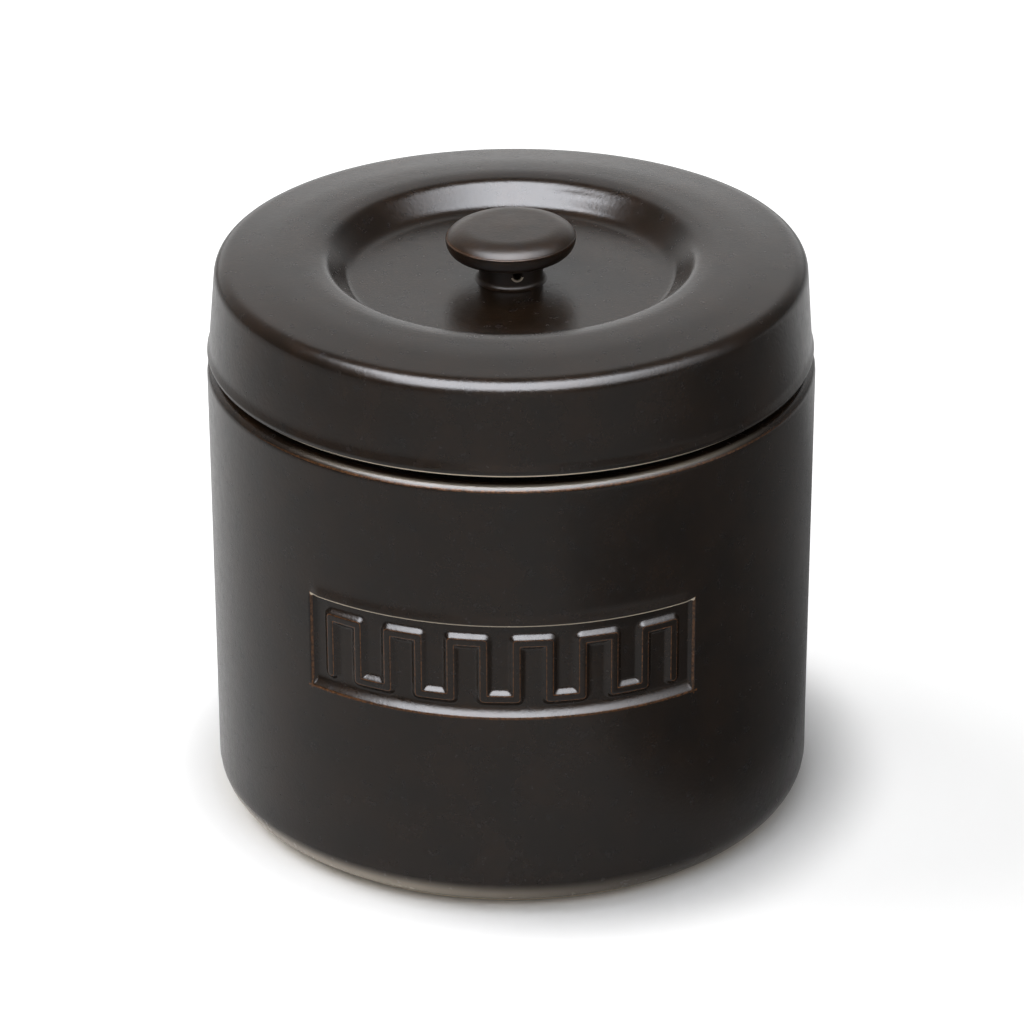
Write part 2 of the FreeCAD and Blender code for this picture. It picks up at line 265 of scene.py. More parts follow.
def rounded_line(corners, coarse, closed=False, fine=None):
    """Line through rounded corners, as complex points, close together on tight arcs and far apart on runs.
    fine(line) may give a smaller spacing for some of its points."""
    points = [complex(radius, height) for radius, height, _ in corners]
    pieces, tightness = [], []
    for i, (_, _, rounding) in enumerate(corners):
        at_end = not closed and i in (0, len(corners) - 1)
        if at_end or rounding == 0:
            arc = np.array([points[i]])
        else:
            arc = corner_arc(points[i - 1], points[i], points[(i + 1) % len(points)], rounding)
        pieces.append(arc)
        tightness.append(np.full(len(arc), coarse if at_end else max(rounding, 0.3) / 5))
    if closed:
        pieces.append(pieces[0][:1])
        tightness.append(tightness[0][:1])
    knots = np.concatenate(pieces)
    knot_place = np.concatenate([[0.0], np.cumsum(abs(np.diff(knots)))])
    place = np.union1d(np.arange(0, knot_place[-1], 0.05), knot_place)
    line = np.interp(place, knot_place, knots.real) + 1j * np.interp(place, knot_place, knots.imag)
    spacing = np.full(len(place), float(coarse))
    at = np.searchsorted(place, knot_place)
    np.minimum.at(spacing, at, np.concatenate(tightness))
    if fine is not None:
        spacing = np.minimum(spacing, fine(line))
    chosen = stations(place, graded(place, spacing))
    if closed:
        chosen = chosen[:-1]
    return np.interp(chosen, place, line.real) + 1j * np.interp(chosen, place, line.imag)


# ---- meshes ----


def ring_faces(rows, columns, wrap_rows):
    """Quads of a grid whose columns close on themselves, and whose rows may."""
    i = np.arange(rows if wrap_rows else rows - 1)[:, None]
    j = np.arange(columns)[None, :]
    here = i * columns + j
    beside = i * columns + (j + 1) % columns
    over = (i + 1) % rows * columns + j
    across = (i + 1) % rows * columns + (j + 1) % columns
    return np.stack([here, beside, across, over], -1).reshape(-1, 4)


def add_piece(name, body, material, points, faces, values=None, replaces=()):
    """Object from points in millimetres and lists of faces, smooth, with point values for the material."""
    mesh = bpy.data.meshes.new(name)
    mesh.from_pydata((points * 0.001).tolist(), [], [face for group in faces for face in group.tolist()])
    mesh.polygons.foreach_set("use_smooth", np.ones(len(mesh.polygons), dtype=bool))
    for label, value in (values or {}).items():
        layer = mesh.attributes.new(label, "FLOAT", "POINT")
        layer.data.foreach_set("value", value.astype(np.float32))
    mesh.materials.append(material)
    mesh.update()
    piece = bpy.data.objects.new(name, mesh)
    bpy.context.collection.objects.link(piece)
    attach(piece, body)
    if replaces:
        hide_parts(*replaces)
    return piece


def add_turned(name, body, material, radius, height, angles, values=None, replaces=(), ring=False):
    """Turned piece. Point (i, j) is (radius sin a, -radius cos a, height) at angle a[j] from the front.
    radius and height are grids of rows along the profile by columns round the axis. A solid's first and last
    rows lie on the axis, and each becomes one point; a ring's last row joins its first."""
    rows, columns = radius.shape
    grid = np.stack([radius * np.sin(angles), -radius * np.cos(angles), height], -1)
    values = values or {}
    if ring:
        flat = {label: value.ravel() for label, value in values.items()}
        faces = [ring_faces(rows, columns, True)]
        return add_piece(name, body, material, grid.reshape(-1, 3), faces, flat, replaces)
    body_rows = grid[1:-1].reshape(-1, 3)
    low, high = len(body_rows), len(body_rows) + 1
    points = np.concatenate([body_rows, grid[0].mean(0)[None], grid[-1].mean(0)[None]])
    j = np.arange(columns)
    last = (rows - 3) * columns
    under = np.stack([np.full(columns, low), (j + 1) % columns, j], -1)
    over = np.stack([last + j, last + (j + 1) % columns, np.full(columns, high)], -1)
    flat = {
        label: np.concatenate([value[1:-1].ravel(), value[0, :1], value[-1, :1]])
        for label, value in values.items()
    }
    faces = [ring_faces(rows - 2, columns, False), under, over]
    return add_piece(name, body, material, points, faces, flat, replaces)


def even_angles(count):
    """Angles round the axis, from the back, through the front at 0, to the back again."""
    return np.linspace(-math.pi, math.pi, count, endpoint=False)


# ---- materials ----


def linear(code):
    """sRGB hex code to opaque linear colour: divide by 12.92 up to 0.04045, and above it raise
    (c + 0.055) / 1.055 to 2.4."""
    channels = [int(code[i : i + 2], 16) / 255 for i in (1, 3, 5)]
    return [c / 12.92 if c <= 0.04045 else ((c + 0.055) / 1.055) ** 2.4 for c in channels] + [1.0]


def add(tree, kind, inputs=None, **settings):
    """New node with its settings, and its inputs set to values or linked to other nodes' outputs."""
    node = tree.nodes.new(kind)
    for name, value in settings.items():
        setattr(node, name, value)
    for socket, value in (inputs or {}).items():
        if isinstance(value, bpy.types.NodeSocket):
            tree.links.new(value, node.inputs[socket])
        else:
            node.inputs[socket].default_value = value
    return node


def new_material(name):
    """Empty node material with its output."""
    material = bpy.data.materials.new(name)
    material.use_nodes = True
    material.node_tree.nodes.clear()
    return material, material.node_tree


def per_metre(millimetres):
    """Texture scale for features of that size, on coordinates in metres."""
    return 1000.0 / millimetres


# Ends of a band that goes on: both lie past every value that reaches it.
NO_START = (-10.0, -9.0)
NO_END = (9.0, 10.0)


def band(tree, value, start, full, end_full, end, peak=1.0):
    """The peak, a number or another node's output, where the value lies between full and end_full, with
    smooth steps from 0 at start and to 0 at end."""
    rise, fall = [
        add(tree, "ShaderNodeMapRange", ends, interpolation_type="SMOOTHSTEP").outputs[0]
        for ends in (
            {"Value": value, 1: start, 2: full, 4: peak},
            {"Value": value, 1: end, 2: end_full},
        )
    ]
    return add(tree, "ShaderNodeMath", {0: rise, 1: fall}, operation="MULTIPLY").outputs[0]


def coated(tree, base, *coats):
    """Colour of a base under coats, each a share and an sRGB code, and each over the ones before it."""
    for share, code in coats:
        coat = {"Factor": share, 6: base, 7: linear(code)}
        base = add(tree, "ShaderNodeMix", coat, data_type="RGBA").outputs[2]
    return base


def either(tree, *sockets):
    """The largest of several values."""
    highest = sockets[0]
    for socket in sockets[1:]:
        highest = add(tree, "ShaderNodeMath", {0: highest, 1: socket}, operation="MAXIMUM").outputs[0]
    return highest


def stoneware_glaze(name, specular, smoothest, roughest):
    """Satin iron glaze on stoneware, fired: near-black brown with faint slate patches and a fine peel.
    A pale coat paints a sheen on it: a soft band above the foot, brighter to the left where the light
    falls, and the lamp's highlight on the front of the rim, where the pot's painted-highlight attribute
    says. Along a crease it breaks to rust, and some edges are pale, bare clay at the foot and the vent's
    lip and a pale line along the lid's lower front edge and the panel's top edge: "break_offset" and the
    pale-edge attribute give the distance in millimetres from those. Its roughness lies between two values,
    and handling raises both."""
    material, tree = new_material(name)
    place = add(tree, "ShaderNodeTexCoord").outputs["Object"]
    cloud, mottle, grain = [
        add(
            tree,
            "ShaderNodeTexNoise",
            {"Vector": place, "Scale": per_metre(size), "Detail": detail, "Roughness": roughness},
        ).outputs["Fac"]
        for size, detail, roughness in ((9.0, 4.0, 0.6), (2.2, 3.0, 0.6), (0.7, 3.0, 0.65))
    ]
    painted_highlight, crease, edge = [
        add(tree, "ShaderNodeAttribute", attribute_name=label).outputs["Fac"]
        for label in ("painted_rim_highlight", "break_offset", "pale_edge_offset")
    ]
    pool = add(tree, "ShaderNodeValToRGB", {"Fac": cloud})
    pool.color_ramp.elements[0].position = 0.35
    pool.color_ramp.elements[0].color = linear("#18110b")
    pool.color_ramp.elements[1].position = 0.7
    pool.color_ramp.elements[1].color = linear("#23180f")
    slate = band(tree, mottle, 0.5, 0.68, *NO_END, 0.22)
    split = add(tree, "ShaderNodeSeparateXYZ", {"Vector": place}).outputs
    sheen_to_left, ragged, satin = [
        add(tree, "ShaderNodeMapRange", {"Value": value, 1: low, 2: high, 3: first, 4: last}).outputs[0]
        for value, low, high, first, last in (
            (split["X"], -0.02, 0.035, 0.8, 0.1),
            (grain, 0.38, 0.6, 0.2, 0.9),
            (mottle, 0.3, 0.7, smoothest, roughest),
        )
    ]
    # Painted sheen: a pale band above the foot, stronger to the left, in place of the floor's reflection.
    painted_foot_sheen = band(tree, split["Z"], 0.0008, 0.0022, 0.0032, 0.0062, sheen_to_left)
    rust = band(tree, crease, -0.32, -0.08, 0.08, 0.32, ragged)
    # Pale edges: bare clay at the foot and vent lip; pale lines on the lid's front edge and the panel's top.
    bare = band(tree, edge, -0.3, -0.1, 0.1, 0.3)
    # The #b3a899 coat paints the foot's sheen and the rim's highlight.
    colour = coated(
        tree,
        pool.outputs["Color"],
        (slate, "#1a1c1f"),
        (either(tree, painted_foot_sheen, painted_highlight), "#b3a899"),
        (rust, "#6b4526"),
        (bare, "#d8cab5"),
    )
    rough = add(tree, "ShaderNodeMix", {"Factor": bare, 2: satin, 3: 0.8}, data_type="FLOAT").outputs[0]
    peel = add(
        tree, "ShaderNodeBump", {"Height": grain, "Distance": 0.000035, "Strength": 1.0}
    ).outputs["Normal"]
    swell = add(
        tree, "ShaderNodeBump", {"Height": cloud, "Distance": 0.00004, "Strength": 1.0, "Normal": peel}
    ).outputs["Normal"]
    shader = add(
        tree,
        "ShaderNodeBsdfPrincipled",
        {
            "Base Color": colour,
            "Roughness": rough,
            "IOR": 1.45,
            "Specular IOR Level": specular,
            "Normal": swell,
        },
    )
    add(tree, "ShaderNodeOutputMaterial", {"Surface": shader.outputs[0]})
    return material


def black_silicone():
    """Moulded food-grade silicone rubber: matt black, with a faint bloom that lifts its shade in patches."""
    material, tree = new_material("black_silicone")
    place = add(tree, "ShaderNodeTexCoord").outputs["Object"]
    bloom = add(tree, "ShaderNodeTexNoise", {"Vector": place, "Scale": per_metre(6.0), "Detail": 3.0})
    shade = coated(tree, linear("#101010"), (bloom.outputs["Fac"], "#1c1b1a"))
    grit = add(tree, "ShaderNodeTexNoise", {"Vector": place, "Scale": per_metre(0.4)}).outputs["Fac"]
    fine = add(tree, "ShaderNodeBump", {"Height": grit, "Distance": 0.00001}).outputs["Normal"]
    shader = add(
        tree, "ShaderNodeBsdfPrincipled", {"Base Color": shade, "Roughness": 0.7, "IOR": 1.41, "Normal": fine}
    )
    add(tree, "ShaderNodeOutputMaterial", {"Surface": shader.outputs[0]})
    return material


def spun_steel():
    """Stainless sheet, spun and pressed on a lathe: fine rings about the axis stretch its highlights."""
    material, tree = new_material("spun_stainless_steel")
    place = add(tree, "ShaderNodeTexCoord").outputs["Object"]
    split = add(tree, "ShaderNodeSeparateXYZ", {"Vector": place})
    squares = [
        add(tree, "ShaderNodeMath", {0: split.outputs[axis], 1: 2.0}, operation="POWER").outputs[0]
        for axis in ("X", "Y")
    ]
    total = add(tree, "ShaderNodeMath", {0: squares[0], 1: squares[1]}, operation="ADD").outputs[0]
    radius = add(tree, "ShaderNodeMath", {0: total}, operation="SQRT").outputs[0]
    rings = add(tree, "ShaderNodeCombineXYZ", {"X": radius, "Y": split.outputs["Z"]}).outputs[0]
    lines = add(
        tree, "ShaderNodeTexNoise", {"Vector": rings, "Scale": per_metre(0.25), "Detail": 2.0}
    ).outputs["Fac"]
    rough = add(tree, "ShaderNodeMapRange", {"Value": lines, 1: 0.3, 2: 0.7, 3: 0.2, 4: 0.34}).outputs[0]
    cut = add(tree, "ShaderNodeBump", {"Height": lines, "Distance": 0.000006}).outputs["Normal"]
    shader = add(
        tree,
        "ShaderNodeBsdfPrincipled",
        {"Base Color": linear("#c9c7c3"), "Metallic": 1.0, "Roughness": rough, "Normal": cut},
    )
    add(tree, "ShaderNodeOutputMaterial", {"Surface": shader.outputs[0]})
    return material


def drawn_wire():
    """Stainless wire, drawn and then woven or bent: bright, with its shade changing a little along it."""
    material, tree = new_material("drawn_stainless_wire")
    place = add(tree, "ShaderNodeTexCoord").outputs["Object"]
    scale = add(tree, "ShaderNodeTexNoise", {"Vector": place, "Scale": per_metre(3.0), "Detail": 3.0})
    shade = coated(tree, linear("#96938e"), (scale.outputs["Fac"], "#b8b6b1"))
    rough = add(
        tree, "ShaderNodeMapRange", {"Value": scale.outputs["Fac"], 1: 0.3, 2: 0.7, 3: 0.2, 4: 0.3}
    ).outputs[0]
    shader = add(tree, "ShaderNodeBsdfPrincipled", {"Base Color": shade, "Metallic": 1.0, "Roughness": rough})
    add(tree, "ShaderNodeOutputMaterial", {"Surface": shader.outputs[0]})
    return material


# ---- pot ----


def nearer(first, second):
    """Of two signed distances, the one that is smaller in size."""
    return np.where(abs(first) < abs(second), first, second)


def off_line(distance):
    """Distance from a line, less half the mesh's spacing, so that at least one row of points lies on it."""
    return np.maximum(abs(distance) - PANEL_FINE / 2, 0.0)


def ridge(t):
    """Height across a raised stroke, 1 on its soft crown at t = 0 and 0 from t = 1.45 out: a shallow dome,
    1 - 0.1 t squared, times a shoulder, 1 less the smooth step from t = 0.4 to 1.45."""
    return (1.0 - 0.1 * np.minimum(t, 1.45) ** 2) * (1.0 - smooth_step((t - 0.4) / 1.05))


def fret_distance(along, rise):
    """Distance from the fret's middle line. The uprights stand one step apart, and the bars run between them,
    by turns at the top and at the bottom, which is a top bar again once every second step is turned over."""
    reach = FRET_STEPS * FRET_STEP / 2
    inside = np.clip(along + reach, 0.0, 2 * reach)
    beyond = abs(along + reach - inside)
    step = np.minimum(np.floor(inside / FRET_STEP), FRET_STEPS - 1)
    turned_rise = np.where(step % 2 == 0, rise, -rise)
    across = inside - step * FRET_STEP
    past_end = np.maximum(abs(rise) - FRET_HALF_HEIGHT, 0.0)
    upright = np.hypot(np.minimum(across, FRET_STEP - across) + beyond, past_end)
    bar = np.hypot(turned_rise - FRET_HALF_HEIGHT, beyond)
    return np.minimum(upright, bar)


def panel_relief(along, up):
    """Offset of the wall, and the two distances for its material, at arc length `along` from the panel's
    middle and height `up`. The recess is the depth times four ramps, one in from each side; the lower one is
    a cove, 1 - (1 - d / run) squared. On its floor stands the fret, and the wall swells a little above it."""
    half_length = math.radians(PANEL_HALF_ANGLE) * (FOOT_RADIUS + RIM_RADIUS) / 2
    from_side = half_length - abs(along)
    from_top = PANEL_TOP - up
    from_bottom = up - PANEL_BOTTOM
    cove = 1.0 - (1.0 - np.clip((from_bottom - 0.1) / PANEL_COVE, 0.0, 1.0)) ** 2
    sunk = smooth_step(from_side / PANEL_SIDE_RUN) * smooth_step(from_top / PANEL_TOP_RUN) * cove
    stroke = fret_distance(along, up - (PANEL_BOTTOM + PANEL_TOP) / 2) * 2 / FRET_STROKE
    above = (1.0 - smooth_step(-from_top / PANEL_SWELL_RUN)) * (from_top < 0)
    swell = PANEL_SWELL * above * smooth_step(from_side / PANEL_SWELL_RUN)
    offset = swell + (ORNAMENT_HEIGHT * ridge(stroke) - PANEL_DEPTH) * sunk
    beside = (from_side > -0.6) & (from_top > -0.6) & (from_bottom > -0.6)
    outline = np.minimum(3 * off_line(from_side - 0.3), 2 * off_line(from_bottom))
    crease = nearer(np.where(beside, outline, CLEAR), np.where(sunk > 0.5, (stroke - 0.5) * 3.0, CLEAR))
    # The third is the distance from a pale line along the panel's top edge.
    return offset, crease, np.where(beside & (from_side > 0.3), 0.8 * off_line(from_top - 0.1), CLEAR)


def pot(glaze):
    """Turned pot. The radius of its leaning wall takes the panel's offset, and a slow wobble of a few
    hundredths of a millimetre round it, as poured and turned clay has."""

    def fine(line):
        on_wall = (line.real > 59) & (line.imag > PANEL_BOTTOM - 1) & (line.imag < PANEL_TOP + 1)
        return np.where(on_wall, PANEL_FINE, PLAIN_SPACING)

    profile = rounded_line(POT_PROFILE, PLAIN_SPACING, fine=fine)
    arc = np.linspace(-math.pi * RIM_RADIUS, math.pi * RIM_RADIUS, 20001)
    panel_end = math.radians(PANEL_HALF_ANGLE) * RIM_RADIUS + 1
    spacing = graded(arc, np.where(abs(arc) < panel_end, PANEL_FINE, PLAIN_SPACING))
    angles = stations(arc, spacing)[:-1] / RIM_RADIUS
    radius = profile.real[:, None] + 0 * angles
    height = profile.imag[:, None] + 0 * angles
    outside = radius > OUTSIDE_FROM
    on_wall = outside & (height > AROUND_PANEL[0]) & (height < AROUND_PANEL[1])
    # The panel's third distance is from a pale line along its top edge.
    offset, crease, clay = panel_relief(angles * (FOOT_RADIUS + RIM_RADIUS) / 2, height)
    wobble = WALL_OVAL * np.sin(2 * angles + 0.7 + height / 40)
    wobble = wobble + WALL_THREE_SIDED * np.sin(3 * angles - height / 25)
    outer_wall = smooth_step((height - 2) / 10) * smooth_step((radius - 50) / 4)
    to_side = 1 - np.cos(angles - RUST_AND_HIGHLIGHT_TURN)
    below_rim = 2 * off_line(height - RIM_HEIGHT + RUST_BELOW_RIM) + 0.5 * to_side
    rim = np.where(outside & (height > 80), below_rim, CLEAR)
    foot = np.where((radius > 46.5) & (height < 3), np.maximum(height - BARE_FOOT_HEIGHT, 0.0), CLEAR)
    # Painted highlight on the rim's rounding, where the lamp's highlight falls; it fades to the sides.
    painted_highlight = smooth_step((radius - 58.7) / 0.4) * smooth_step((height - RIM_HEIGHT + 0.9) / 0.4)
    values = {
        "break_offset": np.where(on_wall, crease, rim),
        "pale_edge_offset": np.where(on_wall, clay, foot),
        "painted_rim_highlight": 0.5 * painted_highlight * (1 - smooth_step((to_side - 0.1) / 0.3)),
    }
    radius = radius + np.where(on_wall, offset, 0.0) + wobble * outer_wall
    add_turned("stoneware_pot", "pot", glaze, radius, height, angles, values, ["pot"])


# ---- lid, knob and seal ----


def lid(glaze):
    """Turned lid. Its top leans forward a little and is warped, higher at the sides than at front and back by
    -cos 2a, and a slow wave runs round it. The well is a little oval and lies towards the back, with a
    thumb-wide swelling in its wall there. The lower edge has a pale line at the front, fading to the sides."""
    profile = rounded_line(LID_PROFILE, 2.5)
    angles = even_angles(300)
    radius = profile.real[:, None] + 0 * angles
    height = profile.imag[:, None] + 0 * angles
    top = smooth_step((height - 100) / 8) * (1 - smooth_step((20 - radius) / 10))
    lean = radius * (LID_RISE_TO_RIGHT * np.sin(angles) - LID_RISE_TO_BACK * np.cos(angles))
    warp = -LID_WARP * np.cos(2 * angles) * (radius / LID_SHOULDER) ** 2
    off_swelling = ((angles - SWELLING_ANGLE) / 0.22) ** 2 + (radius - SWELLING_RADIUS) ** 2
    swelling = SWELLING_HEIGHT * np.exp(-off_swelling)
    height = height + top * (lean + warp + swelling + LID_WAVE * np.sin(3 * angles + radius / 9))
    well = smooth_step((46 - radius) / 5) * smooth_step((radius - 31) / 2.5)
    radius = radius + top * well * (WELL_OVAL * np.cos(2 * angles) - WELL_SHIFT_BACK * np.cos(angles))
    skirt = (radius > 56.5) * 1.0
    skirt_lean = SKIRT_LEAN * (height - 104) * np.sin(angles)
    radius = radius + skirt * (skirt_lean + SKIRT_WAVE * np.sin(3 * angles + 0.4))
    # A pale line along the lower edge, at the front only.
    pale_lid_zone = (radius > 57.5) & (height < 96)
    above_edge = np.maximum(height - PALE_LID_EDGE, 0.0) + 0.8 * (1 - np.cos(angles))
    edge = np.where(pale_lid_zone, above_edge, CLEAR)
    values = {"break_offset": np.full_like(height, CLEAR), "pale_edge_offset": edge}
    add_turned("stoneware_lid", "lid", glaze, radius, height, angles, values, ["lid"])


def knob(glaze):
    """Turned knob, whose cap leans a little to the left. The neck is pushed in inside the vent's circle,
    which leaves a pit, and its lower lip is bare, where the glaze was picked clean."""
    profile = rounded_line(KNOB_PROFILE, 0.8, fine=lambda line: np.where(line.imag < 113, 0.16, 0.8))
    angles = even_angles(220)
    radius = profile.real[:, None] + 0 * angles
    height = profile.imag[:, None] + 0 * angles
    away = np.remainder(angles - math.radians(VENT_ANGLE) + math.pi, 2 * math.pi) - math.pi
    on_neck = (radius > 5.5) & (height > 109) & (height < 113)
    distance = np.where(on_neck, np.hypot(away * NECK_RADIUS, height - VENT_HEIGHT), CLEAR)
    radius = radius - VENT_DEPTH * smooth_step((VENT_RADIUS + 0.15 - distance) / 0.35)
    height = height + KNOB_RISE_TO_RIGHT * radius * np.sin(angles) * smooth_step((height - 112.0) / 1.5)
    lower_lip = np.where(height < VENT_HEIGHT - 0.3, 1.4 * (distance - VENT_RADIUS - 0.25), CLEAR)
    worn_edge = np.where(height > 115, 0.2 + 0.3 * abs(height - KNOB_WORN_HEIGHT), CLEAR)
    values = {"break_offset": worn_edge, "pale_edge_offset": lower_lip}
    add_turned("stoneware_knob", "lid", glaze, radius, height, angles, values, ["knob"])


def plain_ring(name, body, material, corners, replaces):
    """Ring turned from a closed profile."""
    profile = rounded_line(corners, 2.0, closed=True)
    angles = even_angles(200)
    radius = profile.real[:, None] + 0 * angles
    height = profile.imag[:, None] + 0 * angles
    add_turned(name, body, material, radius, height, angles, None, replaces, ring=True)


# ---- strainer ----


def cloth_crossings():
    """Crossings of a cloth drawn down into a basket. Crossing (i, j) of the flat cloth lies at pitch times
    (i, j), its distance from the middle becomes the distance along the basket's profile, and its direction
    stays. Gives the crossings, the profile's normals there, (-1) to the power i + j, and which are kept."""
    line = rounded_line(CLOTH_PROFILE, 0.5)
    place = np.concatenate([[0.0], np.cumsum(abs(np.diff(line)))])
    slope = np.gradient(line, place)
    reach = place[-1] - 0.5
    count = int(reach / CLOTH_PITCH) + 2
    i, j = np.meshgrid(np.arange(-count, count + 1), np.arange(-count, count + 1), indexing="ij")
    distance = CLOTH_PITCH * np.hypot(i, j)
    direction = np.arctan2(j, i)
    radius = np.interp(distance, place, line.real)
    height = np.interp(distance, place, line.imag)
    lean = np.interp(distance, place, slope.real) + 1j * np.interp(distance, place, slope.imag)
    lean = lean / abs(lean)
    centre = np.stack([radius * np.cos(direction), radius * np.sin(direction), height], -1)
    normal = np.stack([lean.imag * np.cos(direction), lean.imag * np.sin(direction), -lean.real], -1)
    return centre, normal, 1 - 2 * ((i + j) % 2), distance <= reach


def cloth_wires(centre, normal, lift, kept, axis, first):
    """Points and faces of the wires along one axis of the grid, numbered from `first`. Each is a square tube,
    whose corners at a crossing are at the wire's radius times (cos t across + sin t along the normal)."""
    run = np.gradient(centre, axis=axis)
    run = run / np.maximum(np.linalg.norm(run, axis=-1, keepdims=True), 1e-9)
    across = np.cross(normal, run)
    turns = np.radians([45, 135, 225, 315])[:, None]
    square = CLOTH_WIRE * (np.cos(turns) * across[:, :, None] + np.sin(turns) * normal[:, :, None])
    corners = (centre + lift * normal)[:, :, None] + square
    number = np.where(kept, np.cumsum(kept.ravel()).reshape(kept.shape) - 1, -1) * 4 + first
    after = np.roll(number, -1, axis)
    goes_on = kept & np.roll(kept, -1, axis)
    starts = kept & ~np.roll(kept, 1, axis)
    ends = kept & ~np.roll(kept, -1, axis)
    k = np.arange(4)
    onward = (k + 1) % 4
    here, there = number[goes_on][:, None], after[goes_on][:, None]
    tube = np.stack([here + k, here + onward, there + onward, there + k], -1).reshape(-1, 4)
    faces = [tube, number[starts][:, None] + k[::-1], number[ends][:, None] + k]
    return corners[kept].reshape(-1, 3), faces


def wire_cloth(steel):
    """Plain weave. At crossing (i, j) a wire lies off the cloth's middle by half the cloth's thickness less
    its own radius, with the sign of (-1) to the power i + j, and the wire that it crosses lies as far the
    other way."""
    centre, normal, sign, kept = cloth_crossings()
    lift = sign[..., None] * (CLOTH / 2 - CLOTH_WIRE)
    points, faces = cloth_wires(centre, normal, lift, kept, 0, 0)
    more_points, more_faces = cloth_wires(centre, normal, -lift, kept, 1, len(points))
    points = np.concatenate([points, more_points])
    faces = faces + more_faces
    replaced = ["strainer_mesh"]
    add_piece("woven_wire_basket", "strainer", steel, points, faces, replaces=replaced)


def lift_loop(name, body, node, steel, side):
    """Round wire carried along a closed rounded rectangle. Point (i, k) is the path's point plus the wire's
    radius times (cos t outwards + sin t along Y). side is -1 at the front and 1 at the back."""
    half = LOOP_WIDTH / 2
    corners = [
        (-half, 0, LOOP_CORNER),
        (-half, -LOOP_DROP, LOOP_CORNER),
        (half, -LOOP_DROP, LOOP_CORNER),
        (half, 0, LOOP_CORNER),
    ]
    path = rounded_line(corners, 1.5, closed=True)
    onward = np.roll(path, -1) - np.roll(path, 1)
    outward = -1j * onward / abs(onward)
    turns = even_angles(14)
    around = path[:, None] + LOOP_WIRE * np.cos(turns) * outward[:, None]
    depth = side * (HINGE_RADIUS + 0 * around.real) + LOOP_WIRE * np.sin(turns)
    grid = np.stack([around.real, depth, HINGE_HEIGHT + around.imag], -1)
    faces = ring_faces(len(path), len(turns), True)
    add_piece(name, body, steel, grid.reshape(-1, 3), [faces], replaces=[node])


# ---- studio ----


def pale_floor():
    """Matt white sheet, with a faint glow for what sees it directly or in a gloss, so that it reads white.
    The glow is weaker near the foot, which paints shade round it on top of the real shadow, and in a
    gloss, and stronger far off, where the lamps don't reach. A gloss also sees a grey card on the right, a
    half as dark one to the far left, and brighter paper far in front."""
    floor, tree = new_material("pale_floor")
    path = add(tree, "ShaderNodeLightPath").outputs
    shiny = path["Is Glossy Ray"]
    direct = either(tree, path["Is Camera Ray"], path["Is Transmission Ray"])
    place = add(tree, "ShaderNodeTexCoord").outputs["Object"]
    split = add(tree, "ShaderNodeSeparateXYZ", {"Vector": place}).outputs
    beside = band(tree, split["Y"], -0.28, -0.14, 0.12, 0.22)
    right = band(tree, split["X"], 0.052, 0.083, *NO_END, beside)
    far_left = band(tree, split["X"], *NO_START, -0.36, -0.26, 0.5)
    away = add(tree, "ShaderNodeVectorMath", {0: place}, operation="LENGTH").outputs["Value"]
    # Painted shade: near the foot the glow fades almost to nothing, darkening the floor past its shadow.
    glow_with_painted_shade = add(
        tree,
        "ShaderNodeMapRange",
        {"Value": away, 1: 0.057, 2: 0.081, 3: 0.03, 4: 0.66},
        interpolation_type="SMOOTHSTEP",
    ).outputs[0]
    card, in_gloss, front_share, far_share = [
        add(tree, "ShaderNodeMath", {0: value, 1: factor}, operation="MULTIPLY").outputs[0]
        for value, factor in (
            (either(tree, right, far_left), shiny),
            (shiny, 0.23),
            (shiny, 0.6),
            (direct, 0.95),
        )
    ]
    seen = either(tree, direct, in_gloss)
    near = add(tree, "ShaderNodeMath", {0: seen, 1: glow_with_painted_shade}, operation="MULTIPLY").outputs[0]
    far = band(tree, away, 0.7, 1.6, *NO_END, far_share)
    far_front = band(tree, split["Y"], *NO_START, -0.9, -0.4, front_share)
    strength = either(tree, near, far, far_front)
    sheet = coated(tree, linear("#f4f4f4"), (card, "#909090"))
    matt = add(tree, "ShaderNodeBsdfDiffuse", {"Color": sheet})
    glow = add(tree, "ShaderNodeEmission", {"Color": sheet, "Strength": strength})
    both = add(tree, "ShaderNodeAddShader", {0: matt.outputs[0], 1: glow.outputs[0]})
    add(tree, "ShaderNodeOutputMaterial", {"Surface": both.outputs[0]})
    mesh = bpy.data.meshes.new("floor")
    corners = [(FLOOR_REACH * x, FLOOR_REACH * y, 0) for x, y in ((-1, -1), (1, -1), (1, 1), (-1, 1))]
    mesh.from_pydata(corners, [], [(0, 1, 2, 3)])
    mesh.materials.append(floor)
    plane = bpy.data.objects.new("floor", mesh)
    bpy.context.collection.objects.link(plane)


